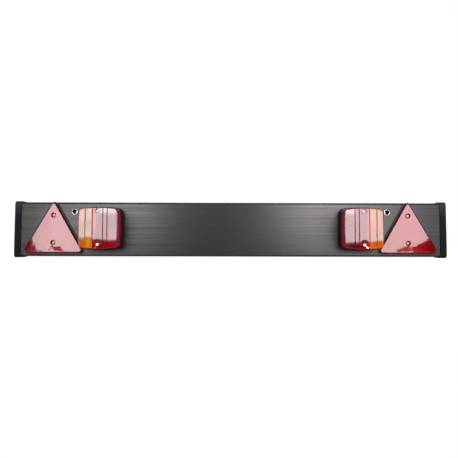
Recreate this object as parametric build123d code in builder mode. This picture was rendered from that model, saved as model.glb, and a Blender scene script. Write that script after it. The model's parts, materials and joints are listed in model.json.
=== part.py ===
"""Trailer lighting board: hollow plastic board, end caps, triangular reflectors, rear lamps and strap eyelets.

Millimetres, +Z up, lamps facing -Y, +X to the right of someone who looks at the lamps.
The origin lies midway between the two eyelets, on the front face of the board.
"""

import os
from math import ceil, sqrt

from build123d import *

# Board, a hollow extrusion with two inner webs and two rear grooves
overall_length = 1220.0
board_height = 153.0
board_depth = 25.0
board_wall = 2.6
front_edge_radius = 5.5
rear_edge_radius = 2.0
web_thickness = 2.2
web_rise = 27.0
groove_width = 26.0
groove_depth = 3.2

# Fit between pieces that slide together
slip_clearance = 0.2

# End caps
cap_end_wall = 4.0
cap_wall = 2.8
cap_face_reach = 18.0
cap_lip_reach = 25.0
cap_lip_slope = 6.0
cap_lip_drop = 1.8
cap_lip_wrap = 4.0
cap_edge_bevel = 1.5
tongue_length = 16.0
tongue_thickness = 2.5

# Eyelets for the straps or bolts that hold the board, measured inwards from the reflector's middle
# and down from the top edge of the board
eyelet_offset = 55.5
eyelet_drop = 27.0
eyelet_bore = 10.6
eyelet_wall = 0.9
eyelet_flange = 18.0
eyelet_rim = 0.4
eyelet_roll = 1.6
washer_diameter = 21.0
washer_thickness = 1.0

# Triangular reflectors, measured inwards from the end of the board
reflector_inset = 112.5
reflector_side = 171.0
reflector_corner = 8.0
reflector_foot = 10.0
reflector_back_margin = 3.2
reflector_back_thickness = 2.4
reflector_lip_width = 1.4
reflector_lip_height = 1.6
reflector_lens_depth = 8.0
reflector_lens_face = 3.0
reflector_lens_wall = 2.6
reflector_bevel_width = 3.0
reflector_bevel_depth = 1.8
reflector_hole_rise = 28.5
reflector_hole_spacing = 77.0
reflector_well_diameter = 14.0
reflector_well_floor = 2.6
well_wall = 2.0

# Rear lamps: base and lens, measured inwards from the reflector's middle
lamp_offset = 135.5
lamp_rise = 1.7
lens_width = 109.0
lens_height = 113.6
lens_end_bow = 4.0
lens_side_bow = 1.5
lens_corner = 12.0
lens_depth = 28.0
lens_face = 3.4
lens_wall = 2.4
lens_edge_radius = 3.2
gasket_thickness = 1.2
base_height = 16.0
base_floor = 2.5
base_ledge = 3.4
base_edge_bevel = 1.5
rim_step = 1.0

# Rear lamps: bands and optics of the lens, measured outboard from the middle of the lamp
lens_split = 15.2
amber_groove = 34.5
strip_outer_groove = -13.3
strip_inner_groove = -25.0
band_groove_width = 2.6
band_groove_depth = 0.5
flute_pitch = 5.4
flute_depth = 0.8

# Rear lamps: lens screws in their wells, the lower one in a wide shallow dish
lens_screw_top = 10.0
lens_screw_bottom = 11.6
lens_well_diameter = 10.6
lens_well_depth = 3.6
lens_well_floor = 2.4
lens_rim_diameter = 12.4
lens_rim_angle = 100.0
lens_dish_diameter = 29.0
lens_dish_angle = 154.0
post_diameter = 8.4
bulkhead_thickness = 2.0
bulkhead_clearance = 0.6

# Rear lamps: bulbs, the fog bulb measured from the inner side of the lens, the stop and tail bulb outboard
# from the middle of the lamp, and the indicator bulb midway in its chamber
fog_inset = 18.5
stop_tail_x = 1.0
bulb_clearance = 3.0
bulb_cap_end = -28.0
bulb_cap_diameter = 15.0
bulb_cap_length = 16.0
bulb_glass_diameter = 25.0
bulb_length = 50.0
bulb_neck = 8.0
bulb_dome = 7.0
holder_wall = 1.2
holder_length = 12.0
holder_gap = 2.0
holder_foot_width = 13.0
contact_thickness = 0.8
contact_width = 8.0
contact_foot = 8.0

# Screws
screw_head_diameter = 8.0
screw_head_height = 2.4
screw_head_bevel = 1.0
screw_shank_diameter = 3.8
screw_hole_diameter = 4.4
screw_bite = 6.0
lens_screw_length = 14.0
base_screw_spacing = 68.0

# Grommets
wire_bore = 6.0
cable_bore = 8.0
grommet_wall = 2.0
grommet_flange = 2.6
grommet_lip = 1.5

# Values worked out from the sizes above
board_length = overall_length - 2 * cap_end_wall
reflector_x = overall_length / 2 - reflector_inset
eyelet_x = reflector_x - eyelet_offset
lamp_x = reflector_x - lamp_offset
eyelet_rise = board_height / 2 - eyelet_drop
eyelet_tube = eyelet_bore / 2 + eyelet_wall
groove_floor = board_depth - groove_depth
reflector_inradius = reflector_side / (2 * sqrt(3))
reflector_rise = reflector_foot + reflector_inradius - board_height / 2
reflector_hole_foot = reflector_hole_rise - reflector_inradius
reflector_holes = [(0, reflector_hole_foot), (0, reflector_hole_foot + reflector_hole_spacing)]
lens_seat = base_height + gasket_thickness
lens_front = lens_seat + lens_depth
lens_inside = lens_front - lens_face
lens_well_seat = lens_front - lens_well_depth
post_top = lens_well_seat - lens_well_floor
lens_screw_x = (lens_split + strip_outer_groove) / 2
lens_holes = [
    (lens_screw_x, lens_screw_bottom - lens_height / 2),
    (lens_screw_x, lens_height / 2 - lens_screw_top),
]
rim_inset = lens_wall + rim_step
indicator_x = (lens_split + bulkhead_thickness / 2 + lens_width / 2 - rim_inset) / 2
fog_x = fog_inset - lens_width / 2
base_screw_x = (stop_tail_x + fog_x) / 2
base_holes = [(base_screw_x, -base_screw_spacing / 2), (base_screw_x, base_screw_spacing / 2)]
wire_hole = (base_screw_x, 0)
bulb_height = bulb_glass_diameter / 2 + bulb_clearance
bulb_axis = base_floor + bulb_height
contact_height = bulb_height + contact_width / 2
pilot_depth = board_wall + screw_bite
wire_hole_radius = wire_bore / 2 + grommet_wall
cable_hole_radius = cable_bore / 2 + grommet_wall


def front_plane(x=0.0, rise=0.0, height=0.0):
    """Plane parallel to the front face: x to the right, y up from mid-height, z out towards the viewer."""
    return Plane(origin=(x, -height, rise - eyelet_rise), x_dir=(1, 0, 0), z_dir=(0, -1, 0))


def section_plane(x):
    """Plane across the board: its x runs from front to rear, its y up from mid-height, its z to the right."""
    return Plane(origin=(x, 0, -eyelet_rise), x_dir=(0, 1, 0), z_dir=(1, 0, 0))


def level_plane(x, rise, height=0.0):
    """Level plane: its x runs to the right, its y towards the viewer, its z down."""
    return Plane(origin=(x, -height, rise - eyelet_rise), x_dir=(1, 0, 0), z_dir=(0, 0, -1))


def board_outline(margin):
    """Section of the board without its grooves, grown by a margin on every side."""
    with BuildSketch() as outline:
        with Locations((board_depth / 2, 0)):
            Rectangle(board_depth + 2 * margin, board_height + 2 * margin)
        fillet(outline.vertices().group_by(Axis.X)[0], radius=front_edge_radius + margin)
        fillet(outline.vertices().group_by(Axis.X)[-1], radius=rear_edge_radius + margin)
    return outline.sketch


def triangle_outline(margin):
    """Reflector triangle with rounded corners, point up, grown by a margin on every side."""
    with BuildSketch() as outline:
        RegularPolygon(reflector_side / sqrt(3) + 2 * margin, 3, rotation=90)
        fillet(outline.vertices(), radius=reflector_corner + margin)
    return outline.sketch


def lamp_outline(margin):
    """Lamp outline: sides and ends bowed outwards, corners rounded, grown by a margin on every side."""
    half_width = lens_width / 2 + margin
    half_height = lens_height / 2 + margin
    with BuildSketch() as outline:
        with BuildLine():
            corner_x = half_width - lens_side_bow
            corner_y = half_height - lens_end_bow
            ThreePointArc((-corner_x, -corner_y), (0, -half_height), (corner_x, -corner_y))
            ThreePointArc((corner_x, -corner_y), (half_width, 0), (corner_x, corner_y))
            ThreePointArc((corner_x, corner_y), (0, half_height), (-corner_x, corner_y))
            ThreePointArc((-corner_x, corner_y), (-half_width, 0), (-corner_x, -corner_y))
        make_face()
        fillet(outline.vertices(), radius=lens_corner + margin)
    return outline.sketch


def write_piece(piece, name):
    """Label one piece, or one group of like pieces, and write its file."""
    piece.label = name
    export_step(piece, "parts/" + name + ".step")


def write_pair(right_piece, name):
    """Write a right-hand piece and its mirror image on the left."""
    write_piece(right_piece, name + "_right")
    write_piece(mirror(right_piece, about=Plane.YZ), name + "_left")


def both_sides(x, points):
    """Points around x on the right, with their mirror images on the left."""
    right = [(x + point[0], point[1]) for point in points]
    return right + [(-point[0], point[1]) for point in right]


os.makedirs("parts", exist_ok=True)

# Board
with BuildPart() as board:
    with BuildSketch(section_plane(-board_length / 2)):
        add(board_outline(0))
        with Locations((board_depth, eyelet_rise), (board_depth, -eyelet_rise)):
            Rectangle(2 * groove_depth, groove_width, mode=Mode.SUBTRACT)
        offset(amount=-board_wall, kind=Kind.INTERSECTION, mode=Mode.SUBTRACT)
        with Locations((board_depth / 2, web_rise), (board_depth / 2, -web_rise)):
            Rectangle(board_depth - board_wall, web_thickness)
    extrude(amount=board_length)
    with BuildSketch(front_plane()):
        with Locations(*both_sides(eyelet_x, [(0, eyelet_rise)])):
            Circle(eyelet_tube + slip_clearance)
    extrude(amount=-board_depth, mode=Mode.SUBTRACT)
    with BuildSketch(front_plane(rise=reflector_rise)):
        with Locations(*both_sides(reflector_x, reflector_holes)):
            Circle(screw_shank_diameter / 2)
    extrude(amount=-pilot_depth, mode=Mode.SUBTRACT)
    with BuildSketch(front_plane(rise=lamp_rise)):
        with Locations(*both_sides(lamp_x, base_holes)):
            Circle(screw_shank_diameter / 2)
    extrude(amount=-pilot_depth, mode=Mode.SUBTRACT)
    with BuildSketch(front_plane(rise=lamp_rise)):
        with Locations(*both_sides(lamp_x, [wire_hole])):
            Circle(wire_hole_radius)
    extrude(amount=-board_wall, mode=Mode.SUBTRACT)
    with BuildSketch(front_plane(height=-board_depth)):
        with Locations((0, -eyelet_rise)):
            Circle(cable_hole_radius)
    extrude(amount=groove_depth + board_wall, mode=Mode.SUBTRACT)
write_piece(board.part, "board")

# End caps: a socket over the board's end, with tongues that grip the inner webs
cap_mouth = overall_length / 2 - cap_lip_reach
tongue_rise = web_rise - web_thickness / 2 - slip_clearance - tongue_thickness / 2
with BuildPart() as end_cap:
    with BuildSketch(section_plane(cap_mouth)):
        add(board_outline(slip_clearance + cap_wall))
    extrude(amount=cap_lip_reach)
    chamfer(end_cap.faces().sort_by(Axis.X)[-1].edges(), length=cap_edge_bevel)
    with BuildSketch(section_plane(cap_mouth)):
        add(board_outline(slip_clearance))
    extrude(amount=cap_lip_reach - cap_end_wall, mode=Mode.SUBTRACT)
    with BuildSketch(section_plane(cap_mouth)):
        with Locations((board_depth / 2, 0)):
            Rectangle(2 * board_depth, board_height - 2 * cap_lip_wrap)
    extrude(amount=cap_lip_reach - cap_face_reach, mode=Mode.SUBTRACT)
    for side in (0, -1):
        lip_end = end_cap.faces().filter_by(Plane.YZ).group_by(Axis.X)[0].sort_by(Axis.Z)[side]
        lip_edge = lip_end.edges().filter_by(Axis.Y).sort_by(Axis.Z)[side]
        chamfer(lip_edge, length=cap_lip_drop, length2=cap_lip_slope, reference=lip_end)
    with BuildSketch(section_plane(overall_length / 2 - cap_end_wall - tongue_length)):
        with Locations((board_depth / 2, tongue_rise), (board_depth / 2, -tongue_rise)):
            Rectangle(board_depth - 2 * (board_wall + slip_clearance), tongue_thickness)
    extrude(amount=tongue_length)
write_pair(end_cap.part, "end_cap")

# Eyelets: a metal tube rolled over at both ends, with a washer in the rear groove
rear_seat = groove_floor + washer_thickness
roll_width = eyelet_flange / 2 - eyelet_bore / 2
roll_inner = eyelet_bore / 2 + roll_width / 3
roll_outer = eyelet_flange / 2 - roll_width / 3
with BuildPart() as eyelets:
    with BuildSketch(Plane(origin=(eyelet_x, 0, 0))):
        with BuildLine():
            Polyline(
                (eyelet_bore / 2, -eyelet_rim),
                (roll_inner, -eyelet_roll),
                (roll_outer, -eyelet_roll),
                (eyelet_flange / 2, -eyelet_rim),
                (eyelet_flange / 2, 0),
                (eyelet_tube, 0),
                (eyelet_tube, rear_seat),
                (eyelet_flange / 2, rear_seat),
                (eyelet_flange / 2, rear_seat + eyelet_rim),
                (roll_outer, rear_seat + eyelet_roll),
                (roll_inner, rear_seat + eyelet_roll),
                (eyelet_bore / 2, rear_seat + eyelet_rim),
                close=True,
            )
        make_face()
    revolve(axis=Axis((eyelet_x, 0, 0), (0, 1, 0)))
    mirror(about=Plane.YZ)
write_piece(eyelets.part, "eyelets")

with BuildPart() as eyelet_washers:
    with BuildSketch(front_plane(height=-rear_seat)):
        with Locations(*both_sides(eyelet_x, [(0, eyelet_rise)])):
            Circle(washer_diameter / 2)
            Circle(eyelet_tube + slip_clearance, mode=Mode.SUBTRACT)
    extrude(amount=washer_thickness)
write_piece(eyelet_washers.part, "eyelet_washers")

# Reflectors: black back plate with a raised lip, red lens with two screw wells
with BuildPart() as reflector_back:
    with BuildSketch(front_plane(reflector_x, reflector_rise)):
        add(triangle_outline(reflector_back_margin))
        with Locations(*reflector_holes):
            Circle(screw_hole_diameter / 2, mode=Mode.SUBTRACT)
    extrude(amount=reflector_back_thickness)
    with BuildSketch(front_plane(reflector_x, reflector_rise, reflector_back_thickness)):
        add(triangle_outline(reflector_back_margin))
        add(triangle_outline(reflector_back_margin - reflector_lip_width), mode=Mode.SUBTRACT)
    extrude(amount=reflector_lip_height)
write_pair(reflector_back.part, "reflector_back")

reflector_well_seat = reflector_back_thickness + reflector_well_floor
with BuildPart() as reflector_lens:
    with BuildSketch(front_plane(reflector_x, reflector_rise, reflector_back_thickness)):
        add(triangle_outline(0))
    extrude(amount=reflector_lens_depth)
    front = reflector_lens.faces().sort_by(Axis.Y)[0]
    chamfer(front.edges(), length=reflector_bevel_width, length2=reflector_bevel_depth, reference=front)
    with BuildSketch(front_plane(reflector_x, reflector_rise, reflector_back_thickness)):
        add(triangle_outline(-reflector_lens_wall))
        with Locations(*reflector_holes):
            Circle(reflector_well_diameter / 2 + well_wall, mode=Mode.SUBTRACT)
    extrude(amount=reflector_lens_depth - reflector_lens_face, mode=Mode.SUBTRACT)
    with BuildSketch(front_plane(reflector_x, reflector_rise, reflector_well_seat)):
        with Locations(*reflector_holes):
            Circle(reflector_well_diameter / 2)
    extrude(amount=reflector_lens_depth, mode=Mode.SUBTRACT)
    with BuildSketch(front_plane(reflector_x, reflector_rise, reflector_back_thickness)):
        with Locations(*reflector_holes):
            Circle(screw_hole_diameter / 2)
    extrude(amount=reflector_lens_depth, mode=Mode.SUBTRACT)
write_pair(reflector_lens.part, "reflector_lens")

# Lamp base: tray with a rim for the gasket, screw posts and a bulkhead between the two colours
bulkhead_height = lens_inside - bulkhead_clearance
bulkhead_length = lens_height - 2 * (rim_inset + rim_step)
with BuildPart() as lamp_base:
    with BuildSketch(front_plane(lamp_x, lamp_rise)):
        add(lamp_outline(base_ledge))
    extrude(amount=base_height)
    chamfer(lamp_base.faces().sort_by(Axis.Y)[0].edges(), length=base_edge_bevel)
    with BuildSketch(front_plane(lamp_x, lamp_rise, base_floor)):
        add(lamp_outline(-rim_inset))
    extrude(amount=base_height, mode=Mode.SUBTRACT)
    with BuildSketch(front_plane(lamp_x, lamp_rise, base_floor)):
        with Locations(*lens_holes):
            Circle(post_diameter / 2)
    extrude(amount=post_top - base_floor)
    with BuildSketch(front_plane(lamp_x, lamp_rise, base_floor)):
        with Locations((lens_split, 0)):
            Rectangle(bulkhead_thickness, bulkhead_length)
    extrude(amount=bulkhead_height - base_floor)
    with BuildSketch(front_plane(lamp_x, lamp_rise, post_top)):
        with Locations(*lens_holes):
            Circle(screw_shank_diameter / 2)
    extrude(amount=-lens_screw_length, mode=Mode.SUBTRACT)
    with BuildSketch(front_plane(lamp_x, lamp_rise)):
        with Locations(*base_holes):
            Circle(screw_hole_diameter / 2)
        with Locations(wire_hole):
            Circle(wire_hole_radius)
    extrude(amount=base_floor, mode=Mode.SUBTRACT)
write_pair(lamp_base.part, "lamp_base")

# Lamp gasket, between the rim of the base and the edge of the lens
with BuildPart() as lamp_gasket:
    with BuildSketch(front_plane(lamp_x, lamp_rise, base_height)):
        add(lamp_outline(0))
        add(lamp_outline(-rim_inset), mode=Mode.SUBTRACT)
    extrude(amount=gasket_thickness)
write_pair(lamp_gasket.part, "lamp_gasket")

# Lamp lens: the core is the hollow of the moulding, with vertical flutes and with room for the screw wells
band_edges = (amber_groove, lens_split, strip_outer_groove, strip_inner_groove)
flute_count = ceil((lens_width - 2 * lens_corner) / flute_pitch)
with BuildPart() as lens_core:
    with BuildSketch(front_plane(lamp_x, lamp_rise, lens_seat)):
        add(lamp_outline(-lens_wall))
    extrude(amount=lens_depth - lens_face)
    with BuildSketch(level_plane(lamp_x, lamp_rise + lens_height / 2 - lens_corner, lens_inside)):
        with GridLocations(flute_pitch, 0, flute_count, 1):
            Polygon((-flute_pitch / 2, 0), (flute_pitch / 2, 0), (0, flute_depth), align=None)
    extrude(amount=lens_height - 2 * lens_corner)
    with BuildSketch(front_plane(lamp_x, lamp_rise, post_top)):
        with Locations(*lens_holes):
            Circle(lens_well_diameter / 2 + well_wall)
    extrude(amount=lens_depth, mode=Mode.SUBTRACT)

with BuildPart() as lamp_lens:
    with BuildSketch(front_plane(lamp_x, lamp_rise, lens_seat)):
        add(lamp_outline(0))
    extrude(amount=lens_depth)
    fillet(lamp_lens.faces().sort_by(Axis.Y)[0].edges(), radius=lens_edge_radius)
    with BuildSketch(level_plane(lamp_x, lamp_rise + lens_height, lens_front)):
        with Locations(*[(x, 0) for x in band_edges]):
            Polygon(
                (-band_groove_width / 2, 0),
                (band_groove_width / 2, 0),
                (0, -band_groove_depth),
                align=None,
            )
    extrude(amount=2 * lens_height, mode=Mode.SUBTRACT)
    add(lens_core.part, mode=Mode.SUBTRACT)
    with Locations(front_plane(lamp_x, lamp_rise, lens_front)):
        with Locations(lens_holes[0]):
            CounterSinkHole(
                lens_well_diameter / 2,
                lens_dish_diameter / 2,
                depth=lens_well_depth,
                counter_sink_angle=lens_dish_angle,
            )
        with Locations(lens_holes[1]):
            CounterSinkHole(
                lens_well_diameter / 2,
                lens_rim_diameter / 2,
                depth=lens_well_depth,
                counter_sink_angle=lens_rim_angle,
            )
        with Locations(*lens_holes):
            Hole(screw_hole_diameter / 2, depth=lens_depth)

# The two colours are moulded side by side: each keeps its own side of the seam
with BuildPart() as lens_amber:
    add(lamp_lens.part)
    with BuildSketch(front_plane(lamp_x + lens_split, lamp_rise, lens_seat)):
        Rectangle(lens_width, 2 * lens_height, align=(Align.MIN, Align.CENTER))
    extrude(amount=lens_depth, mode=Mode.INTERSECT)
write_pair(lens_amber.part, "lens_amber")

with BuildPart() as lens_red:
    add(lamp_lens.part)
    with BuildSketch(front_plane(lamp_x + lens_split, lamp_rise, lens_seat)):
        Rectangle(lens_width, 2 * lens_height, align=(Align.MAX, Align.CENTER))
    extrude(amount=lens_depth, mode=Mode.INTERSECT)
write_pair(lens_red.part, "lens_red")


# Screws: pan heads with a plain shank, one group for each use
def pan_screws(points, rise, seat, length):
    """Pan-head screws with their heads on a seat in front of the board and their shanks towards it."""
    with BuildPart() as screws:
        with BuildSketch(front_plane(rise=rise, height=seat)):
            with Locations(*points):
                Circle(screw_head_diameter / 2)
        extrude(amount=screw_head_height)
        chamfer(screws.faces().group_by(Axis.Y)[0].edges(), length=screw_head_bevel)
        with BuildSketch(front_plane(rise=rise, height=seat)):
            with Locations(*points):
                Circle(screw_shank_diameter / 2)
        extrude(amount=-length)
    return screws.part


reflector_screw_length = reflector_well_seat + board_wall + screw_bite
base_screw_length = base_floor + board_wall + screw_bite
write_piece(
    pan_screws(
        both_sides(reflector_x, reflector_holes), reflector_rise, reflector_well_seat, reflector_screw_length
    ),
    "reflector_screws",
)
write_piece(
    pan_screws(both_sides(lamp_x, lens_holes), lamp_rise, lens_well_seat, lens_screw_length),
    "lens_screws",
)
write_piece(
    pan_screws(both_sides(lamp_x, base_holes), lamp_rise, base_floor, base_screw_length),
    "base_screws",
)


# Bulbs: metal cap and round glass in one, upright in the lamp
def bulbs(outboard):
    """One bulb on the right and its mirror image on the left, at a distance outboard of the lamp's middle."""
    cap_radius = bulb_cap_diameter / 2
    glass_radius = bulb_glass_diameter / 2
    bulb_plane = Plane(
        origin=(lamp_x + outboard, -bulb_axis, lamp_rise + bulb_cap_end - eyelet_rise),
        x_dir=(1, 0, 0),
        z_dir=(0, -1, 0),
    )
    with BuildPart() as pair:
        with BuildSketch(bulb_plane):
            with BuildLine():
                Polyline(
                    (0, 0),
                    (cap_radius, 0),
                    (cap_radius, bulb_cap_length),
                    (glass_radius, bulb_cap_length + bulb_neck),
                    (glass_radius, bulb_length - bulb_dome),
                    (cap_radius, bulb_length),
                    (0, bulb_length),
                    close=True,
                )
            make_face()
        revolve(axis=Axis(bulb_plane.origin, (0, 0, 1)))
        mirror(about=Plane.YZ)
    return pair.part


bulb_places = {"indicator_bulbs": indicator_x, "stop_tail_bulbs": stop_tail_x, "fog_bulbs": fog_x}
for bulb_name, bulb_x in bulb_places.items():
    write_piece(bulbs(bulb_x), bulb_name)

# Bulb holders: a sleeve on a foot that stands on the floor of the base
holder_bore = bulb_cap_diameter / 2 + slip_clearance
holder_top = bulb_cap_end + holder_gap + holder_length
bulb_points = [(x, 0) for x in bulb_places.values()]
with BuildPart() as bulb_holders:
    with BuildSketch(level_plane(lamp_x, lamp_rise + holder_top, base_floor)):
        with Locations(*bulb_points):
            with Locations((0, bulb_height / 2)):
                Rectangle(holder_foot_width, bulb_height)
            with Locations((0, bulb_height)):
                Circle(holder_bore + holder_wall)
                Circle(holder_bore, mode=Mode.SUBTRACT)
    extrude(amount=holder_length)
    mirror(about=Plane.YZ)
write_piece(bulb_holders.part, "bulb_holders")

# Contact strips: a brass angle behind the end of each bulb cap
with BuildPart() as contact_strips:
    with BuildSketch(level_plane(lamp_x, lamp_rise + bulb_cap_end, base_floor)):
        with Locations(*bulb_points):
            with Locations((0, contact_height / 2)):
                Rectangle(contact_width, contact_height)
    extrude(amount=contact_thickness)
    with BuildSketch(level_plane(lamp_x, lamp_rise + bulb_cap_end, base_floor)):
        with Locations(*bulb_points):
            with Locations((0, contact_thickness / 2)):
                Rectangle(contact_width, contact_thickness)
    extrude(amount=contact_foot)
    mirror(about=Plane.YZ)
write_piece(contact_strips.part, "contact_strips")


# Grommets: a rubber tube with a lip on each side of the wall that it lines
def grommet_profile(bore, grip):
    """Half section of a grommet: its x is the radius, its y the depth behind the front lip's seat."""
    body = bore / 2 + grommet_wall - slip_clearance
    lip = body + grommet_flange
    with BuildSketch() as profile:
        with BuildLine():
            Polyline(
                (bore / 2, -grommet_lip),
                (lip, -grommet_lip),
                (lip, 0),
                (body, 0),
                (body, grip),
                (lip, grip),
                (lip, grip + grommet_lip),
                (bore / 2, grip + grommet_lip),
                close=True,
            )
        make_face()
    return profile.sketch


with BuildPart() as wire_grommets:
    with BuildSketch(Plane(origin=(lamp_x + wire_hole[0], -base_floor, lamp_rise - eyelet_rise))):
        add(grommet_profile(wire_bore, base_floor + board_wall))
    revolve(axis=Axis((lamp_x + wire_hole[0], 0, lamp_rise - eyelet_rise), (0, 1, 0)))
    mirror(about=Plane.YZ)
write_piece(wire_grommets.part, "wire_grommets")

with BuildPart() as cable_grommet:
    with BuildSketch(Plane(origin=(0, groove_floor - board_wall, -2 * eyelet_rise))):
        add(grommet_profile(cable_bore, board_wall))
    revolve(axis=Axis((0, 0, -2 * eyelet_rise), (0, 1, 0)))
write_piece(cable_grommet.part, "cable_grommet")
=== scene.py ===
"""Looks of the trailer lighting board: finishes, turned eyelets and threaded screws, studio and camera.

Metres, +Z up, lamps facing -Y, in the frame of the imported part.
"""

import json
import math

import bmesh
import bpy
import numpy as np
from mathutils import Matrix, Vector


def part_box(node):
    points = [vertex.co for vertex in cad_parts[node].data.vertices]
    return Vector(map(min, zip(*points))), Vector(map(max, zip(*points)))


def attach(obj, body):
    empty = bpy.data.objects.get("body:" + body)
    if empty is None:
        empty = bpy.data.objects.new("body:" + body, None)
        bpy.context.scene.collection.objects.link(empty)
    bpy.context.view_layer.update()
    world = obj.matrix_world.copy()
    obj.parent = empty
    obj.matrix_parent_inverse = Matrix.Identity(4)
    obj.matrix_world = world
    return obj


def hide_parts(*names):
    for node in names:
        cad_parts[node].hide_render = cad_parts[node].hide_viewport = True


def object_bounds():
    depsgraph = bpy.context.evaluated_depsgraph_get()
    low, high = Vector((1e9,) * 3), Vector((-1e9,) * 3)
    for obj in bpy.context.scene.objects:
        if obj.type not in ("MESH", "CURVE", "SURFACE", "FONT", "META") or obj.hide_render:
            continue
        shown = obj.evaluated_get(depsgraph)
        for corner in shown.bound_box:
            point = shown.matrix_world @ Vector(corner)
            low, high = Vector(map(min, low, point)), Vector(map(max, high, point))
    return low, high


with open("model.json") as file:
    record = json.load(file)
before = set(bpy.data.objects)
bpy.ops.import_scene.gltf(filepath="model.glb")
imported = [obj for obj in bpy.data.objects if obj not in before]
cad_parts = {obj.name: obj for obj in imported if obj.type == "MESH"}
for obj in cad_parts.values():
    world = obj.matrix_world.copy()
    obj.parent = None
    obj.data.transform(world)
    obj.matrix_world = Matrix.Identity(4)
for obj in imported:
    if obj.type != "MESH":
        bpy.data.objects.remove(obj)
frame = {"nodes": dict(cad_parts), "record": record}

MM = 0.001

cad_low, cad_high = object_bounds()
nodes = frame["nodes"]
eyelet_dims = frame["record"]["mounts"][0]["dims"]
eyelet_middle = eyelet_dims["spacing_x_mm"] * MM / 2
lens_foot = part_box("lens_red_right")[0].z
reflector_low, reflector_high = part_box("reflector_lens_right")
reflector_middle = (reflector_low.x + reflector_high.x) / 2

# Camera, fitted to the photograph: angles in degrees, focal length and picture in pixels
CAMERA_PLACE = (-11.5 * MM, -1117.2 * MM, -102.0 * MM)
CAMERA_YAW = 0.29
CAMERA_PITCH = 2.768
CAMERA_ROLL = 0.129
FOCAL_PIXELS = 395.4
PICTURE_PIXELS = 458

# Screws: the slopes are shares of a recess arm's width and length, the turns are radians
SCREW_HEAD_RADIUS = 4.0 * MM
SCREW_HEAD_HEIGHT = 2.4 * MM
SCREW_SHANK_RADIUS = 1.65 * MM
THREAD_PITCH = 1.4 * MM
THREAD_HEIGHT = 0.25 * MM
POINT_LENGTH = 2 * THREAD_PITCH
RECESS_LENGTH = 2.3 * MM
RECESS_WIDTH = 0.62 * MM
RECESS_DEPTH = 1.3 * MM
RECESS_WALL_SLOPE = 0.35
RECESS_END_SLOPE = 0.8
PAN_EXPONENT = 6
BUTTON_EXPONENT = 16
SCREW_FIRST_TURN = 0.4
SCREW_NEXT_TURN = 0.7
SCREW_AROUND = 72
HEAD_RINGS = 40
SHANK_RINGS = 60

# Eyelets
EYELET_CREST = 7.4 * MM
EYELET_MOUTH = 2.0 * MM
EYELET_WALL = 0.9 * MM
EYELET_AROUND = 96
EYELET_RINGS = 16
WELD_DISTANCE = 0.002 * MM

# Board: drawn lines, and the dust that adds to the roughness
LINE_LENGTH = 2500 * MM
LINE_WIDTH = 7 * MM
LINE_DEPTH = 0.12 * MM
DUST_REACH = 25 * MM
DUST_BESIDE_LAMPS = 0.28
DUST_AT_ENDS = 0.16
END_DUST_START = 25 * MM
CLEAN_TOP = 60 * MM
CLEAN_FOOT = 20 * MM

# Black mouldings: depths below the board's top where the painted top light starts and is full
MOULD_GRAIN = 0.9 * MM
MOULD_CLOUD = 40 * MM
MOULD_DEPTH = 0.1 * MM
TOP_LIGHT_START = 45 * MM
TOP_LIGHT_FULL = 11.25 * MM
# Lip: scale of the mottle in its painted highlight, and depths where that highlight starts and is full
LIP_MOTTLE = 12 * MM
LIP_TOP = 0.1 * MM
LIP_SIDE = 0.3 * MM

# Lenses: shares of the bright colour, the streaks' shift in their widths, and spots of painted
# light and painted shade with X, Z, half width and half height in mm, strength, sink and colour
FLUTE_PITCH = 5.4 * MM
FLUTE_SHARE = 0.1
STREAK_WIDTH = 7 * MM
STREAK_LENGTH = 60 * MM
STREAK_SHIFT = 3.7
FOOT_HEIGHT = 30 * MM
FOOT_SHARE = 0.12
FACE_SHARE = -0.35
LENS_WAVE = 45 * MM
LENS_DEPTH = 0.12 * MM
# Bright spots are painted glows, dark ones painted shade.
RED_PAINTED_LIGHT_AND_SHADE = (
    (-325, -72, 12, 16, 0.16, 1.0, "#e82038"),
    (-371, -30, 3.5, 36, 0.4, 1.0, "#e82038"),
    (374, -35, 3.5, 40, 0.3, 1.0, "#e82038"),
    (332, -97, 20, 14, 0.75, 0.0, "#240003"),
)
AMBER_PAINTED_LIGHT_AND_SHADE = (
    (-388, -84, 9, 20, 0.28, 4.4, "#ffa81c"),
    (-405, -84, 7, 16, 0.2, 0.0, "#f05000"),
    (390, -8, 8, 26, 0.05, 1.0, "#ffae20"),
    (388, -58, 10, 22, 0.6, 0.0, "#6a3c00"),
)

# Reflectors: distances from the outer corner where the painted shade starts and is darkest,
# and the dent's place above the lower edge and inward of the middle
REFLEX_CELL = 5.0 * MM
CORNER_SHADE_START = 50 * MM
CORNER_SHADE_FULL = 15 * MM
WELL_RADIUS = 7.2 * MM
WELL_DISH = 1.4 * MM
WELL_RIM = 0.02
DENT_WIDTH = 17 * MM
DENT_HEIGHT = 10.5 * MM
DENT_DEPTH = 0.38 * MM
DENT_INWARD = 10 * MM
DENT_RISE = 5 * MM
REFLEX_WAVE = 42 * MM
REFLEX_WAVE_SHARE = 0.8

# Nylon, metals and glass: the painted shade in the eyelet starts and is full at depths in its mouth,
# ends at a rim inside its crest, and leaves the rear roll bright
NYLON_CLOUD = 3 * MM
NYLON_DEPTH = 0.01 * MM
PLATE_CLOUD = 3 * MM
BORE_SHADE_LEAN = 0.28
BORE_SHADE_START = -0.3 * MM
BORE_SHADE_FULL = 0.5 * MM
BORE_SHADE_RIM = 0.7 * MM
REAR_BRIGHT = 1.5 * MM
REAR_DARK = 3 * MM
GLASS_WAVE = 12 * MM
GLASS_DEPTH = 0.05 * MM

# Studio: light levels, the floor's size and fading in metres, and the panels
AMBIENT = 0.18
ROOM_DIM = 0.04
FLOOR_REACH = 6.0
FLOOR_GAP = 0.2 * MM
FLOOR_GLOW = 0.72
FLOOR_FADE_START = 0.7
FLOOR_FADE_END = 1.8
FLOOR_MIRROR_EDGE = 0.05
PANEL_COLOUR = "#fbfaff"
PANEL_DISTANCE = 1.1
PANEL_NEARER = PANEL_DISTANCE - 0.01
PANEL_NEAREST = PANEL_DISTANCE - 0.02


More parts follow.
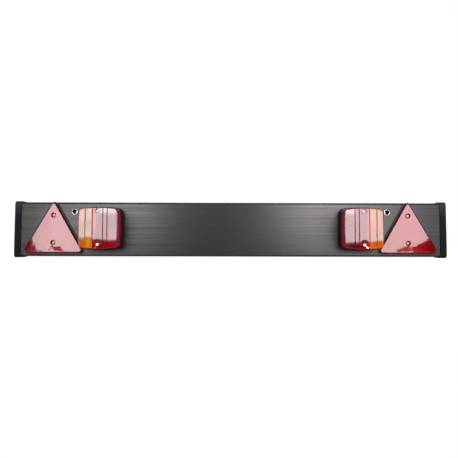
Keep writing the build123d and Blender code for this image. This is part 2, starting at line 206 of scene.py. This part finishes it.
def linear(hex_colour):
    """Linear RGBA of an sRGB hex colour."""
    channels = np.array([int(hex_colour[i:i + 2], 16) for i in (1, 3, 5)]) / 255
    straight = np.where(channels <= 0.04045, channels / 12.92, ((channels + 0.055) / 1.055) ** 2.4)
    return (*straight.tolist(), 1.0)


def fill(node, inputs):
    """Fill inputs of a node: a socket is linked, a hex colour made linear, any other value set."""
    for name, value in inputs.items():
        if isinstance(value, bpy.types.NodeSocket):
            node.id_data.links.new(value, node.inputs[name])
        else:
            node.inputs[name].default_value = linear(value) if isinstance(value, str) else value


def add_node(tree, kind, inputs=None, **settings):
    """Add a shader node with its settings and inputs, and return its first output in use."""
    node = tree.nodes.new("ShaderNode" + kind)
    for name, value in settings.items():
        setattr(node, name, value)
    fill(node, inputs or {})
    return next(output for output in node.outputs if output.enabled)


def new_material(name):
    """Material with one Principled shader: the material, its tree, the shader and the place."""
    material = bpy.data.materials.new(name)
    material.use_nodes = True
    tree = material.node_tree
    place = add_node(tree, "TexCoord").node.outputs["Object"]
    return material, tree, tree.nodes["Principled BSDF"], place


# Finishes
def facing_front(tree):
    """One where the surface faces the front, nothing across and behind: minus the normal's Y."""
    normal = add_node(tree, "NewGeometry").node.outputs["Normal"]
    across = add_node(tree, "SeparateXYZ", {0: normal}).node.outputs["Y"]
    return add_node(tree, "MapRange", {"Value": across, "From Min": 0.0, "From Max": -1.0})


def mirrored_spot(tree, place):
    """Distance outwards from the middle of the board, on both halves, and the spot made of it and Z."""
    axis = add_node(tree, "SeparateXYZ", {0: place}).node.outputs
    outward = add_node(tree, "Math", {0: axis["X"]}, operation="ABSOLUTE")
    return outward, add_node(tree, "CombineXYZ", {"X": outward, "Z": axis["Z"]})


def bell_curve(tree, place, middle, wide, tall):
    """Bell curve in X and Z: e to the minus square of the distance, counted in half sizes."""
    offset = add_node(tree, "VectorMath", {0: place, 1: middle}, operation="SUBTRACT")
    counts = (1 / wide, 0.0, 1 / tall)
    offset = add_node(tree, "VectorMath", {0: offset, 1: counts}, operation="MULTIPLY")
    square = add_node(tree, "VectorMath", {0: offset, 1: offset}, operation="DOT_PRODUCT")
    power = add_node(tree, "Math", {0: square, 1: -1.0}, operation="MULTIPLY")
    return add_node(tree, "Math", {0: power}, operation="EXPONENT")


def extruded_pvc():
    """Black PVC, extruded: the die draws fine lengthwise lines, which streak its satin gloss.

    The lines are noise drawn out along X, as coarse as the photograph shows them. Road dust dulls
    the front towards the ends, and at the inner side of the lamps: there it is e to the minus
    distance from a box behind the lamp's inner half, counted in the dust's reach.
    """
    material, tree, shader, place = new_material("extruded_pvc")
    scale = (1 / LINE_LENGTH, 1 / LINE_WIDTH, 1 / LINE_WIDTH)
    drawn = add_node(tree, "Mapping", {"Vector": place, "Scale": scale})
    lines = add_node(tree, "TexNoise", {
        "Vector": drawn, "Scale": 1.0, "Detail": 5.0, "Roughness": 0.65})
    share = add_node(tree, "MapRange", {"Value": lines, "From Min": 0.3, "From Max": 0.7})
    tone = add_node(tree, "Mix", {"Factor": share, "A": "#040405", "B": "#29292a"}, data_type="RGBA")
    gloss = add_node(tree, "MapRange", {"Value": share, "To Min": 0.41, "To Max": 0.26})
    base_low, base_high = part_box("lamp_base_right")
    low = Vector((base_low.x, 0.0, base_low.z + CLEAN_FOOT))
    high = Vector(((base_low.x + base_high.x) / 2, 0.0, base_high.z - CLEAN_TOP))
    outward, spot = mirrored_spot(tree, place)
    away = add_node(tree, "VectorMath", {0: spot, 1: (low + high) / 2}, operation="SUBTRACT")
    away = add_node(tree, "VectorMath", {0: away}, operation="ABSOLUTE")
    away = add_node(tree, "VectorMath", {0: away, 1: (high - low) / 2}, operation="SUBTRACT")
    away = add_node(tree, "VectorMath", {0: away, 1: (0.0, 0.0, 0.0)}, operation="MAXIMUM")
    away = add_node(tree, "VectorMath", {0: away}, operation="LENGTH")
    dust = add_node(tree, "Math", {0: away, 1: -1 / DUST_REACH}, operation="MULTIPLY")
    dust = add_node(tree, "Math", {0: dust}, operation="EXPONENT")
    dust = add_node(tree, "Math", {0: dust, 1: DUST_BESIDE_LAMPS}, operation="MULTIPLY")
    end_dust = add_node(tree, "MapRange", {
        "Value": outward, "From Min": reflector_middle + END_DUST_START,
        "From Max": cad_high.x, "To Max": DUST_AT_ENDS})
    dust = add_node(tree, "Math", {0: dust, 1: end_dust}, operation="MAXIMUM")
    front = facing_front(tree)
    gloss = add_node(tree, "Math", {0: dust, 1: front, 2: gloss}, operation="MULTIPLY_ADD")
    relief = add_node(tree, "Bump", {"Height": lines, "Distance": LINE_DEPTH})
    fill(shader, {
        "Base Color": tone, "Roughness": gloss, "Normal": relief,
        "IOR": 1.53, "Specular IOR Level": 0.34, "Specular Tint": "#fff8f3"})
    return material


def moulded_black(name, dark, pale, top, roughness, shine):
    """Black polypropylene or rubber, moulded: a spark-eroded grain scatters the light to a matt look.

    The grain is drawn coarser than real to show. The top of the board is painted in the third
    tone, as painted light from above.
    """
    material, tree, shader, place = new_material(name)
    cloud = add_node(tree, "TexNoise", {"Vector": place, "Scale": 1 / MOULD_CLOUD, "Detail": 3.0})
    tone = add_node(tree, "Mix", {"Factor": cloud, "A": dark, "B": pale}, data_type="RGBA")
    upright = add_node(tree, "SeparateXYZ", {0: place}).node.outputs["Z"]
    # Painted light: the top of the board is painted in the lighter third tone.
    painted_top_light = add_node(tree, "MapRange", {
        "Value": upright, "From Min": cad_high.z - TOP_LIGHT_START, "From Max": cad_high.z - TOP_LIGHT_FULL})
    tone = add_node(tree, "Mix", {"Factor": painted_top_light, "A": tone, "B": top}, data_type="RGBA")
    grain = add_node(tree, "TexNoise", {"Vector": place, "Scale": 1 / MOULD_GRAIN, "Detail": 2.0})
    relief = add_node(tree, "Bump", {"Height": grain, "Strength": 0.6, "Distance": MOULD_DEPTH})
    fill(shader, {
        "Base Color": tone, "Roughness": roughness, "Normal": relief,
        "IOR": 1.49, "Specular IOR Level": shine})
    return material


def lipped_polypropylene():
    """Black polypropylene, moulded: satin, the top of its lip painted paler and reddish, a painted
    highlight with a painted red reflection of the lens.
    """
    material, tree, shader, place = new_material("lipped_polypropylene")
    lip_mottle = add_node(tree, "TexNoise", {"Vector": place, "Scale": 1 / LIP_MOTTLE, "Detail": 3.0})
    # Painted highlight and painted red reflection on the lip's top.
    painted_lip_highlight = add_node(tree, "Mix", {"Factor": lip_mottle, "A": "#281a1a", "B": "#3c2828"}, data_type="RGBA")
    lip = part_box("reflector_back_right")[0].y
    depth = add_node(tree, "SeparateXYZ", {0: place}).node.outputs["Y"]
    on_lip = add_node(tree, "MapRange", {
        "Value": depth, "From Min": lip + LIP_SIDE, "From Max": lip + LIP_TOP})
    tone = add_node(tree, "Mix", {"Factor": on_lip, "A": "#070505", "B": painted_lip_highlight}, data_type="RGBA")
    relief = add_node(tree, "Bump", {"Height": lip_mottle, "Distance": MOULD_DEPTH})
    fill(shader, {
        "Base Color": tone, "Roughness": 0.4, "Normal": relief,
        "IOR": 1.49, "Specular IOR Level": 0.25})
    return material


def fluted_acrylic(name, deep, bright, edge, wall, painted_spots):
    """Acrylic, moulded: a clear gloss skin over flutes, which show as upright stripes of the colour.

    The stripes are a cosine of X plus drawn-out noise. The colour is deepest on the rounded edges,
    where the eye looks through most of it, and gathers light near the foot of the lens. The side
    walls are painted in a brighter colour, as painted light. Each spot is a bell curve: the bright
    ones are painted glows, the dark ones painted shade, and where a spot has a sink the skin is
    sunk a little.
    """
    material, tree, shader, place = new_material(name)
    axis = add_node(tree, "SeparateXYZ", {0: place}).node.outputs
    turns = add_node(tree, "Math", {
        0: axis["X"], 1: 2 * math.pi / FLUTE_PITCH}, operation="MULTIPLY")
    flutes = add_node(tree, "Math", {0: turns}, operation="COSINE")
    scale = (1 / STREAK_WIDTH, 1 / STREAK_WIDTH, 1 / STREAK_LENGTH)
    drawn = add_node(tree, "Mapping", {
        "Vector": place, "Location": (STREAK_SHIFT, 0.0, 0.0), "Scale": scale})
    streaks = add_node(tree, "TexNoise", {"Vector": drawn, "Scale": 1.0, "Detail": 2.0})
    foot = add_node(tree, "MapRange", {
        "Value": axis["Z"], "From Min": lens_foot + FOOT_HEIGHT, "From Max": lens_foot,
        "To Min": FACE_SHARE, "To Max": FOOT_SHARE})
    share = add_node(tree, "Math", {0: flutes, 1: FLUTE_SHARE, 2: streaks}, operation="MULTIPLY_ADD")
    share = add_node(tree, "Math", {0: share, 1: foot}, operation="ADD", use_clamp=True)
    tone = add_node(tree, "Mix", {"Factor": share, "A": deep, "B": bright}, data_type="RGBA")
    layers = []
    sunk = 0.0
    # Each spot paints a glow or a patch of shade into the lens colour.
    for x, z, wide, tall, strength, sink, colour in painted_spots:
        spot = bell_curve(tree, place, (x * MM, 0.0, z * MM), wide * MM, tall * MM)
        spot = add_node(tree, "Math", {0: spot, 1: strength}, operation="MULTIPLY")
        sunk = add_node(tree, "Math", {0: spot, 1: sink, 2: sunk}, operation="MULTIPLY_ADD")
        layers.append((spot, colour))
    front = facing_front(tree)
    side = add_node(tree, "Math", {0: 1.0, 1: front}, operation="SUBTRACT")
    rounding = add_node(tree, "Math", {0: front, 1: side}, operation="MULTIPLY")
    on_edge = add_node(tree, "MapRange", {"Value": rounding, "From Min": 0.12, "From Max": 0.25})
    # Painted light: the side walls are painted in a brighter colour.
    on_wall = add_node(tree, "MapRange", {"Value": front, "From Min": 0.25, "From Max": 0.0})
    layers += [(on_edge, edge), (on_wall, wall)]
    for share, colour in layers:
        tone = add_node(tree, "Mix", {"Factor": share, "A": tone, "B": colour}, data_type="RGBA")
    waves = add_node(tree, "TexNoise", {"Vector": place, "Scale": 1 / LENS_WAVE, "Detail": 1.0})
    height = add_node(tree, "Math", {0: waves, 1: sunk}, operation="SUBTRACT")
    skin = add_node(tree, "Bump", {"Height": height, "Distance": LENS_DEPTH})
    fill(shader, {
        "Base Color": tone, "Roughness": 0.4, "Specular IOR Level": 0.0,
        "Coat Weight": 1.0, "Coat Roughness": 0.05, "Coat IOR": 1.49, "Coat Normal": skin})
    return material


def reflex_acrylic():
    """Red acrylic reflector: a clear gloss face over corner prisms, drawn coarser than real to show.

    The prisms' hexagons are a sum of three cosines, 120 degrees apart. Towards the outer corner the
    colour is painted darker, painted shade where the light falls off. The face has sunk a little as
    the moulding cooled: in gentle waves, and in a dent below the lower screw, a bell curve that noise
    makes uneven. The wells round the screws are dished and have no prisms, and are painted darker as
    painted shade in the recess.
    """
    material, tree, shader, place = new_material("reflex_acrylic")
    cells = 0.0
    for turn in (0, 120, 240):
        angle = math.radians(turn)
        along = Vector((math.cos(angle), 0.0, math.sin(angle))) * (2 * math.pi / REFLEX_CELL)
        step = add_node(tree, "VectorMath", {0: place, 1: along}, operation="DOT_PRODUCT")
        wave = add_node(tree, "Math", {0: step}, operation="COSINE")
        cells = add_node(tree, "Math", {0: wave, 1: cells}, operation="ADD")
    prisms = add_node(tree, "MapRange", {"Value": cells, "From Min": -1.5, "From Max": 3.0})
    tone = add_node(tree, "Mix", {"Factor": prisms, "A": "#7a0209", "B": "#8c040e"}, data_type="RGBA")
    outward, spot = mirrored_spot(tree, place)
    # Painted shade: the colour darkens towards the outer corner.
    corner = reflector_high.x
    painted_corner_shade = add_node(tree, "MapRange", {
        "Value": outward, "From Min": corner - CORNER_SHADE_START, "From Max": corner - CORNER_SHADE_FULL})
    front = facing_front(tree)
    on_edge = add_node(tree, "MapRange", {"Value": front, "From Min": 0.97, "From Max": 0.87})
    on_wall = add_node(tree, "MapRange", {"Value": front, "From Min": 0.4, "From Max": 0.1})
    low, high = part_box("reflector_screws")
    middle = (reflector_middle, 0.0, (low.z + high.z) / 2)
    spread = (0.0, 0.0, (high.z - low.z) / 2 - SCREW_HEAD_RADIUS)
    away = add_node(tree, "VectorMath", {0: spot, 1: middle}, operation="SUBTRACT")
    away = add_node(tree, "VectorMath", {0: away}, operation="ABSOLUTE")
    away = add_node(tree, "VectorMath", {0: away, 1: spread}, operation="SUBTRACT")
    away = add_node(tree, "VectorMath", {0: away}, operation="LENGTH")
    well = add_node(tree, "MapRange", {
        "Value": away, "From Min": WELL_RADIUS, "From Max": SCREW_HEAD_RADIUS})
    # Painted shade: the screw wells are painted darker.
    painted_well_shade = add_node(tree, "Math", {0: well, 1: WELL_RIM}, operation="GREATER_THAN")
    layers = [(painted_corner_shade, "#600107"), (on_edge, "#3c0a0e"), (on_wall, "#401a1e"), (painted_well_shade, "#5a141a")]
    for share, colour in layers:
        tone = add_node(tree, "Mix", {"Factor": share, "A": tone, "B": colour}, data_type="RGBA")
    noise = add_node(tree, "TexNoise", {"Vector": place, "Scale": 1 / DENT_WIDTH, "Detail": 2.0})
    noise = noise.node.outputs["Color"]
    size = Vector((DENT_WIDTH, 0.0, DENT_HEIGHT))
    ragged = add_node(tree, "VectorMath", {0: noise, 1: size, 2: spot}, operation="MULTIPLY_ADD")
    middle = Vector((reflector_middle - DENT_INWARD, 0.0, reflector_low.z + DENT_RISE)) + size / 2
    dent = bell_curve(tree, ragged, middle, DENT_WIDTH, DENT_HEIGHT)
    waves = add_node(tree, "TexNoise", {"Vector": place, "Scale": 1 / REFLEX_WAVE, "Detail": 2.0})
    sunk = add_node(tree, "Math", {
        0: waves, 1: REFLEX_WAVE_SHARE, 2: dent}, operation="MULTIPLY_ADD")
    sunk = add_node(tree, "Math", {
        0: well, 1: WELL_DISH / DENT_DEPTH, 2: sunk}, operation="MULTIPLY_ADD")
    skin = add_node(tree, "Bump", {"Height": sunk, "Distance": DENT_DEPTH}, invert=True)
    fill(shader, {
        "Base Color": tone, "Roughness": 0.4, "Specular IOR Level": 0.0,
        "Coat Weight": 1.0, "Coat Roughness": 0.045, "Coat IOR": 1.49, "Coat Normal": skin})
    return material


def red_nylon():
    """Red nylon, moulded: glossy, with a milky depth that clouds the colour a little."""
    material, tree, shader, place = new_material("red_nylon")
    cloud = add_node(tree, "TexNoise", {"Vector": place, "Scale": 1 / NYLON_CLOUD, "Detail": 2.0})
    tone = add_node(tree, "Mix", {"Factor": cloud, "A": "#8c2c30", "B": "#a03e42"}, data_type="RGBA")
    relief = add_node(tree, "Bump", {"Height": cloud, "Distance": NYLON_DEPTH})
    fill(shader, {"Base Color": tone, "Roughness": 0.16, "Normal": relief, "IOR": 1.53})
    return material


def clouded_plate(tree, place, pale, dull, smooth, rough):
    """Colour and roughness of a bright metal skin, with faint clouds where the plating is thinner."""
    cloud = add_node(tree, "TexNoise", {"Vector": place, "Scale": 1 / PLATE_CLOUD, "Detail": 3.0})
    tone = add_node(tree, "Mix", {"Factor": cloud, "A": pale, "B": dull}, data_type="RGBA")
    gloss = add_node(tree, "MapRange", {"Value": cloud, "To Min": smooth, "To Max": rough})
    return tone, gloss


def plated_metal(name, pale, dull, smooth, rough):
    """Zinc-plated steel, or stamped brass: bright all over, with faint clouds in its gloss."""
    material, tree, shader, place = new_material(name)
    tone, gloss = clouded_plate(tree, place, pale, dull, smooth, rough)
    fill(shader, {"Base Color": tone, "Roughness": gloss, "Metallic": 1.0})
    return material


def rolled_nickel():
    """Nickel plate on a rolled eyelet: dull bright on the rolls, painted black down the bore as painted
    shade.

    The painted shade reaches farther up on the outer, upper side of the mouth: its depth is Y plus a
    share of the distance outwards and up from the eyelet's axis.
    """
    material, tree, shader, place = new_material("rolled_nickel")
    tone, gloss = clouded_plate(tree, place, "#c2c0bf", "#a8a6a5", 0.25, 0.38)
    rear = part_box("eyelets")[1].y
    depth = add_node(tree, "SeparateXYZ", {0: place}).node.outputs["Y"]
    _, spot = mirrored_spot(tree, place)
    spot = add_node(tree, "VectorMath", {
        0: spot, 1: (eyelet_middle, 0.0, 0.0)}, operation="SUBTRACT")
    lean = add_node(tree, "VectorMath", {
        0: spot, 1: (BORE_SHADE_LEAN, 0.0, BORE_SHADE_LEAN)}, operation="DOT_PRODUCT")
    lean = add_node(tree, "Math", {0: lean, 1: depth}, operation="ADD")
    inside = add_node(tree, "MapRange", {
        "Value": lean, "From Min": BORE_SHADE_START, "From Max": BORE_SHADE_FULL})
    from_axis = add_node(tree, "VectorMath", {0: spot}, operation="LENGTH")
    in_mouth = add_node(tree, "MapRange", {
        "Value": from_axis, "From Min": EYELET_CREST, "From Max": EYELET_CREST - BORE_SHADE_RIM})
    before_rear = add_node(tree, "MapRange", {
        "Value": depth, "From Min": rear - REAR_BRIGHT, "From Max": rear - REAR_DARK})
    # Painted shade: the bore is painted near black and dull.
    painted_bore_shade = add_node(tree, "Math", {0: inside, 1: in_mouth}, operation="MULTIPLY")
    painted_bore_shade = add_node(tree, "Math", {0: painted_bore_shade, 1: before_rear}, operation="MULTIPLY")
    tone = add_node(tree, "Mix", {"Factor": painted_bore_shade, "A": tone, "B": "#141114"}, data_type="RGBA")
    gloss = add_node(tree, "Mix", {"Factor": painted_bore_shade, "A": gloss, "B": 0.9}, data_type="FLOAT")
    fill(shader, {"Base Color": tone, "Roughness": gloss, "Metallic": 1.0})
    return material


def bulb_glass():
    """Clear soda glass, blown: sharp reflections and a faint waviness."""
    material, tree, shader, place = new_material("bulb_glass")
    wave = add_node(tree, "TexNoise", {"Vector": place, "Scale": 1 / GLASS_WAVE})
    relief = add_node(tree, "Bump", {"Height": wave, "Distance": GLASS_DEPTH})
    fill(shader, {
        "Base Color": "#f4f4f0", "Roughness": 0.02, "Normal": relief,
        "IOR": 1.52, "Transmission Weight": 1.0})
    return material


finishes = {
    "board_pvc": extruded_pvc(),
    # The caps' lighter third tone is painted light on their tops; the other mouldings repeat the pale
    # tone.
    "cap_plastic": moulded_black("matt_polypropylene", "#0e0e11", "#151518", "#2a2a2e", 0.6, 0.06),
    "black_plastic": moulded_black("satin_polypropylene", "#060404", "#0a0707", "#0a0707", 0.4, 0.25),
    "plated_metal": rolled_nickel(),
    "screw_steel": plated_metal("zinc_plate", "#d0ccca", "#b2aead", 0.315, 0.585),
    "reflector_red": reflex_acrylic(),
    "lens_red": fluted_acrylic(
        "red_acrylic", "#520003", "#88000c", "#470208", "#b80f29", RED_PAINTED_LIGHT_AND_SHADE),
    "lens_amber": fluted_acrylic(
        "amber_acrylic", "#684300", "#d45000", "#7c3c05", "#c06a10", AMBER_PAINTED_LIGHT_AND_SHADE),
    "seal_rubber": moulded_black("seal_rubber", "#0e0e0e", "#171717", "#171717", 0.7, 0.2),
    "bulb_glass": bulb_glass(),
    "contact_brass": plated_metal("stamped_brass", "#d9b973", "#b8944f", 0.175, 0.325),
}
for subpart in frame["record"]["subparts"]:
    nodes[subpart["node"]].material_slots[0].material = finishes[subpart["material_slot"]]
lipped_black = lipped_polypropylene()
for back in ("reflector_back_left", "reflector_back_right"):
    nodes[back].material_slots[0].material = lipped_black


# Turned pieces
def ring_mesh(name, rings):
    """Mesh of stacks of closed rings of points, rings[stack, ring, point]: each joined to the next."""
    index = np.arange(rings[..., 0].size).reshape(rings.shape[:3])
    ahead = np.roll(index, -1, axis=2)
    corners = [index[:, :-1], ahead[:, :-1], ahead[:, 1:], index[:, 1:]]
    quads = np.stack(corners, axis=-1).reshape(-1, 4)
    mesh = bpy.data.meshes.new(name)
    mesh.from_pydata(rings.reshape(-1, 3).tolist(), [], quads.tolist())
    welder = bmesh.new()
    welder.from_mesh(mesh)
    bmesh.ops.remove_doubles(welder, verts=welder.verts, dist=WELD_DISTANCE)
    bmesh.ops.recalc_face_normals(welder, faces=welder.faces)
    welder.to_mesh(mesh)
    welder.free()
    mesh.shade_smooth()
    return mesh


def add_piece(name, mesh, finish, node):
    """Object of a finished mesh with its finish, riding on the one body and standing for a CAD node."""
    piece = bpy.data.objects.new(name, mesh)
    bpy.context.scene.collection.objects.link(piece)
    mesh.materials.append(finish)
    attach(piece, "root")
    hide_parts(node)


def cross_recess(across, along):
    """Depth share of one arm of a cross recess: one at its middle, sloping to nothing at its edges."""
    wall = (RECESS_WIDTH - np.abs(across)) / (RECESS_WALL_SLOPE * RECESS_WIDTH)
    end = (RECESS_LENGTH - np.abs(along)) / (RECESS_END_SLOPE * RECESS_LENGTH)
    return np.clip(wall, 0, 1) * np.clip(end, 0, 1)


def screw_rings(seat, tip, turn, exponent, recess_depth):
    """Rings of one screw at the origin, head towards -Y.

    The head is half of a superellipse of the given exponent, with the cross recess taken off its
    height. Under it the shank carries a triangular thread: its radius is a triangle wave of the
    depth in pitches plus the angle in turns, and runs to nothing along the point.
    """
    angle = np.linspace(0, 2 * np.pi, SCREW_AROUND, endpoint=False)
    sweep = np.linspace(0, np.pi / 2, HEAD_RINGS)[:, None]
    radius = SCREW_HEAD_RADIUS * np.sin(sweep) ** (2 / exponent) * np.ones_like(angle)
    height = SCREW_HEAD_HEIGHT * np.cos(sweep).clip(0) ** (2 / exponent) * np.ones_like(angle)
    first, second = radius * np.cos(angle - turn), radius * np.sin(angle - turn)
    recess = np.maximum(cross_recess(first, second), cross_recess(second, first))
    height = height - recess_depth * recess
    depth = np.linspace(0, tip - seat, SHANK_RINGS)[:, None] * np.ones_like(angle)
    wave = np.abs(2 * ((depth / THREAD_PITCH + angle / (2 * np.pi)) % 1) - 1)
    point = np.clip((tip - seat - depth) / POINT_LENGTH, 0, 1)
    shank = (SCREW_SHANK_RADIUS + THREAD_HEIGHT * wave) * point
    radius = np.concatenate([radius, shank])
    height = np.concatenate([height, -depth])
    return np.stack([radius * np.cos(angle), seat - height, radius * np.sin(angle)], axis=-1)


def add_screws(name, node, finish, exponent, recess_depth):
    """Four screws of a group; their axes are a head's radius inside the corners of the group's box."""
    low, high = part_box(node)
    seat = low.y + SCREW_HEAD_HEIGHT
    stacks = []
    for x in (low.x + SCREW_HEAD_RADIUS, high.x - SCREW_HEAD_RADIUS):
        for z in (low.z + SCREW_HEAD_RADIUS, high.z - SCREW_HEAD_RADIUS):
            turn = SCREW_FIRST_TURN + SCREW_NEXT_TURN * len(stacks)
            stacks.append(screw_rings(seat, high.y, turn, exponent, recess_depth) + (x, 0.0, z))
    add_piece(name, ring_mesh(name, np.array(stacks)), finish, node)


def add_eyelets():
    """Two rolled eyelets, turned about Y.

    The front is a quarter of an ellipse from the flange's rim up to the crest, then another one from
    the crest down the mouth into the bore. The rear roll is half of an ellipse, and the barrel's
    outside closes the profile.
    """
    low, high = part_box("eyelets")
    bore = eyelet_dims["hole_r_mm"] * MM
    flange = high.x - eyelet_middle
    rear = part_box("eyelet_washers")[1].y
    quarter = np.linspace(0, np.pi / 2, EYELET_RINGS)
    rim_radius = EYELET_CREST + (flange - EYELET_CREST) * np.cos(quarter)
    rim_depth = low.y * np.sin(quarter)
    mouth_radius = EYELET_CREST - (EYELET_CREST - bore) * np.sin(quarter)
    mouth_depth = EYELET_MOUTH - (EYELET_MOUTH - low.y) * np.cos(quarter)
    roll = (flange - bore) / 2
    rear_radius = bore + roll - roll * np.cos(2 * quarter)
    rear_depth = rear + (high.y - rear) * np.sin(2 * quarter)
    barrel = bore + EYELET_WALL
    radius = [rim_radius, mouth_radius, rear_radius, [barrel, barrel], rim_radius[:1]]
    radius = np.concatenate(radius)[:, None]
    depth = [rim_depth, mouth_depth, rear_depth, [rear, 0.0], rim_depth[:1]]
    depth = np.concatenate(depth)[:, None]
    angle = np.linspace(0, 2 * np.pi, EYELET_AROUND, endpoint=False)
    across, upright = radius * np.cos(angle), radius * np.sin(angle)
    rings = np.stack([across, depth * np.ones_like(angle), upright], axis=-1)
    stacks = np.array([rings + (x, 0.0, 0.0) for x in (-eyelet_middle, eyelet_middle)])
    mesh = ring_mesh("eyelets_rolled", stacks)
    add_piece("eyelets_rolled", mesh, finishes["plated_metal"], "eyelets")


add_screws(
    "reflector_screws_threaded", "reflector_screws", red_nylon(),
    BUTTON_EXPONENT, 0.0)
add_screws(
    "lens_screws_threaded", "lens_screws", finishes["screw_steel"],
    PAN_EXPONENT, RECESS_DEPTH)
add_eyelets()


# Studio: white surround, pale floor and soft panels
def ray_shares(tree):
    """One for rays from the camera and through glass, and one for mirrored rays."""
    path = add_node(tree, "LightPath").node.outputs
    seen = add_node(tree, "Math", {
        0: path["Is Camera Ray"], 1: path["Is Transmission Ray"]}, operation="MAXIMUM")
    return seen, path["Is Glossy Ray"]


def white_world():
    """White for camera and glass, an even soft light, and for gloss white behind and dim in front."""
    world = bpy.data.worlds.new("studio")
    bpy.context.scene.world = world
    world.use_nodes = True
    world.cycles.sampling_method = "NONE"
    tree = world.node_tree
    seen, mirrored = ray_shares(tree)
    towards = add_node(tree, "TexCoord").node.outputs["Generated"]
    behind = add_node(tree, "SeparateXYZ", {0: towards}).node.outputs["Y"]
    gloss = add_node(tree, "MapRange", {
        "Value": behind, "From Min": 0.4, "From Max": 0.95, "To Min": ROOM_DIM, "To Max": 1.0})
    even = add_node(tree, "Mix", {"Factor": mirrored, "A": AMBIENT, "B": gloss}, data_type="FLOAT")
    level = add_node(tree, "Mix", {"Factor": seen, "A": even, "B": 1.0}, data_type="FLOAT")
    fill(tree.nodes["Background"], {"Color": "#ffffff", "Strength": level})


def pale_floor():
    """Floor just under the board: white paint that keeps the shadow near it and fades to plain white.

    Gloss mirrors it behind the board's front face only, and finds the dim room in front of it.
    """
    low, high, level = -FLOOR_REACH, FLOOR_REACH, cad_low.z - FLOOR_GAP
    corners = [(low, low, level), (high, low, level), (high, high, level), (low, high, level)]
    mesh = bpy.data.meshes.new("floor")
    mesh.from_pydata(corners, [], [(0, 1, 2, 3)])
    floor = bpy.data.objects.new("floor", mesh)
    bpy.context.scene.collection.objects.link(floor)
    material, tree, shader, place = new_material("floor_paint")
    away = add_node(tree, "VectorMath", {0: place}, operation="LENGTH")
    far = add_node(tree, "MapRange", {
        "Value": away, "From Min": FLOOR_FADE_START, "From Max": FLOOR_FADE_END})
    glow = add_node(tree, "MapRange", {"Value": far, "To Min": FLOOR_GLOW, "To Max": 1.0})
    behind = add_node(tree, "SeparateXYZ", {0: place}).node.outputs["Y"]
    behind = add_node(tree, "MapRange", {
        "Value": behind, "From Min": -FLOOR_MIRROR_EDGE, "From Max": FLOOR_MIRROR_EDGE,
        "To Min": ROOM_DIM})
    seen, mirrored = ray_shares(tree)
    gloss = add_node(tree, "Math", {0: mirrored, 1: behind}, operation="MULTIPLY")
    seen = add_node(tree, "Math", {0: seen, 1: gloss}, operation="MAXIMUM")
    strength = add_node(tree, "Math", {0: seen, 1: glow}, operation="MULTIPLY")
    fill(shader, {
        "Base Color": "#e6e6e6", "Roughness": 0.9, "Specular IOR Level": 0.0,
        "Emission Color": "#ffffff", "Emission Strength": strength})
    mesh.materials.append(material)


def soft_panel(name, low, high, radiance, tilt=0.0, turn=0.0, depth=PANEL_DISTANCE):
    """Soft panel: lower left and upper right corner, brightness, tilt, turn, distance in front."""
    wide, tall = high[0] - low[0], high[1] - low[1]
    data = bpy.data.lights.new(name, "AREA")
    data.shape = "RECTANGLE"
    data.size, data.size_y = wide, tall
    data.energy = radiance * math.pi * wide * tall
    data.color = linear(PANEL_COLOUR)[:3]
    panel = bpy.data.objects.new(name, data)
    panel.location = (low[0] + wide / 2, -depth, low[1] + tall / 2)
    panel.rotation_euler = (math.radians(90), math.radians(tilt), math.radians(turn))
    panel.visible_camera = False
    bpy.context.scene.collection.objects.link(panel)


def photo_camera():
    """Camera at the photograph's place: yaw towards +X, pitch up, roll, and the focal length."""
    yaw, pitch, roll = (math.radians(x) for x in (CAMERA_YAW, CAMERA_PITCH, CAMERA_ROLL))
    flat = math.cos(pitch)
    ahead = Vector((math.sin(yaw) * flat, math.cos(yaw) * flat, math.sin(pitch)))
    level = Vector((math.cos(yaw), -math.sin(yaw), 0))
    upright = level.cross(ahead)
    right = math.cos(roll) * level + math.sin(roll) * upright
    up = math.cos(roll) * upright - math.sin(roll) * level
    turned = Matrix((right, up, -ahead)).transposed().to_4x4()
    data = bpy.data.cameras.new("camera")
    data.angle = 2 * math.atan(PICTURE_PIXELS / 2 / FOCAL_PIXELS)
    camera = bpy.data.objects.new("camera", data)
    camera.matrix_world = Matrix.Translation(CAMERA_PLACE) @ turned
    bpy.context.scene.collection.objects.link(camera)
    bpy.context.scene.camera = camera


white_world()
pale_floor()
soft_panel("panel_left_lamp", (-0.821, -0.059), (-0.47, 0.30), 11.7, tilt=3.2)
soft_panel("panel_right_lamp", (0.36, -0.073), (0.838, 0.30), 12.1, tilt=-3)
soft_panel("panel_left_amber", (-0.83, 0.045), (-0.735, 0.31), 1.9, depth=PANEL_NEARER)
soft_panel("panel_left_top", (-0.70, 0.085), (-0.47, 0.31), 9.0, depth=PANEL_NEARER)
soft_panel("panel_left_high", (-0.72, 0.125), (-0.45, 0.32), 10.0, depth=PANEL_NEAREST)
soft_panel("panel_right_high", (0.30, 0.125), (0.74, 0.30), 11.0, depth=PANEL_NEAREST)
soft_panel("panel_right_top", (0.31, 0.085), (0.68, 0.31), 9.5, depth=PANEL_NEARER)
soft_panel("panel_left_reflector", (-1.107, -0.185), (-0.856, 0.205), 10.3, tilt=-17)
soft_panel("panel_left_inner", (-1.0, -0.14), (-0.815, 0.26), 1.2, depth=PANEL_NEARER)
soft_panel("panel_right_reflector", (0.838, -0.14), (0.94, 0.21), 10.3)
soft_panel("panel_right_end", (0.844, -0.106), (1.080, 0.214), 10.3, tilt=-27)
soft_panel("panel_middle", (-0.47, 0.22), (0.36, 0.42), 2.0)
soft_panel("panel_left_side", (-2.0, 0.05), (-1.5, 0.75), 1.5, turn=-50)
soft_panel("panel_right_side", (1.5, 0.05), (2.0, 0.75), 1.5, turn=50)
soft_panel("panel_rear", (-0.8, 0.4), (0.8, 1.0), 2.5, turn=180, depth=-PANEL_DISTANCE)
photo_camera()
bpy.context.scene.view_settings.view_transform = "Standard"
